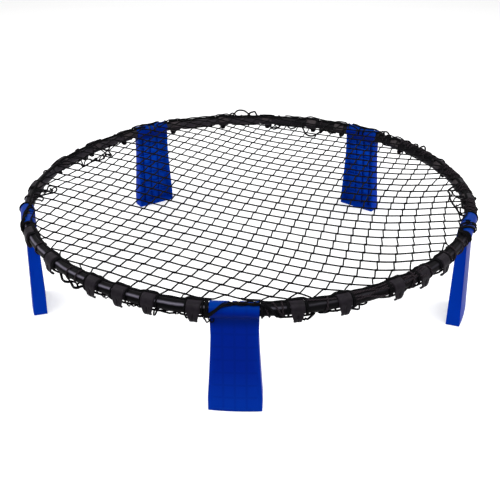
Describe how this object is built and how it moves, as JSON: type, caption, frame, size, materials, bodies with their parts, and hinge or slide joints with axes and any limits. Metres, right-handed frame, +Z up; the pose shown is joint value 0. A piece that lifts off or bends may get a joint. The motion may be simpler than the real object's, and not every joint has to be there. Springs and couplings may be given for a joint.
{
  "type": "roundnet set",
  "caption": "Low round rebound net: a black tube ring on folding blue legs, with a knotted net drawn over the ring and hooked down along its edge",
  "frame": {"origin": "centre of the ring on the floor, between the feet", "axes": "+Z up, the net lies level; -Y points at leg 1; the legs follow counter-clockwise seen from above, every 72 degrees"},
  "size_m": [0.9215, 0.9246, 0.2091],
  "materials": {
    "rim_tube": "smooth black plastic tube, soft satin gloss",
    "leg": "injection-moulded royal blue plastic, semi-gloss",
    "hook": "moulded dark grey-black plastic, satin",
    "net_cord": "black knotted nylon net cord",
    "edge_cord": "black braided nylon cord"
  },
  "bodies": {
    "ring": {"rim_tube_1": "rim_tube", "rim_tube_2": "rim_tube", "rim_tube_3": "rim_tube", "rim_tube_4": "rim_tube", "rim_tube_5": "rim_tube", "hook_1_1": "hook", "hook_1_2": "hook", "hook_1_3": "hook", "hook_1_4": "hook", "hook_1_5": "hook", "hook_2_1": "hook", "hook_2_2": "hook", "hook_2_3": "hook", "hook_2_4": "hook", "hook_3_1": "hook", "hook_3_2": "hook", "hook_3_3": "hook", "hook_3_4": "hook", "hook_3_5": "hook", "hook_4_1": "hook", "hook_4_2": "hook", "hook_4_3": "hook", "hook_4_4": "hook", "hook_5_1": "hook", "hook_5_2": "hook", "hook_5_3": "hook", "hook_5_4": "hook", "hook_5_5": "hook", "hook_5_6": "hook", "net": "net_cord", "net_ties": "net_cord", "edge_cord": "edge_cord"},
    "leg_1": {"leg_1": "leg"},
    "leg_2": {"leg_2": "leg"},
    "leg_3": {"leg_3": "leg"},
    "leg_4": {"leg_4": "leg"},
    "leg_5": {"leg_5": "leg"}
  },
  "joints": [
    {"name": "leg_1_fold", "type": "hinge", "parent": "ring", "child": "leg_1", "pos_m": [0, -0.44558, 0.195], "axis": [1, 0, 0], "range_deg": [0, 82]},
    {"name": "leg_2_fold", "type": "hinge", "parent": "ring", "child": "leg_2", "pos_m": [0.42377, -0.13769, 0.195], "axis": [0.309, 0.9511, 0], "range_deg": [0, 82]},
    {"name": "leg_3_fold", "type": "hinge", "parent": "ring", "child": "leg_3", "pos_m": [0.2619, 0.36048, 0.195], "axis": [-0.809, 0.5878, 0], "range_deg": [0, 82]},
    {"name": "leg_4_fold", "type": "hinge", "parent": "ring", "child": "leg_4", "pos_m": [-0.2619, 0.36048, 0.195], "axis": [-0.809, -0.5878, 0], "range_deg": [0, 82]},
    {"name": "leg_5_fold", "type": "hinge", "parent": "ring", "child": "leg_5", "pos_m": [-0.42377, -0.13769, 0.195], "axis": [0.309, -0.9511, 0], "range_deg": [0, 82]}
  ]
}
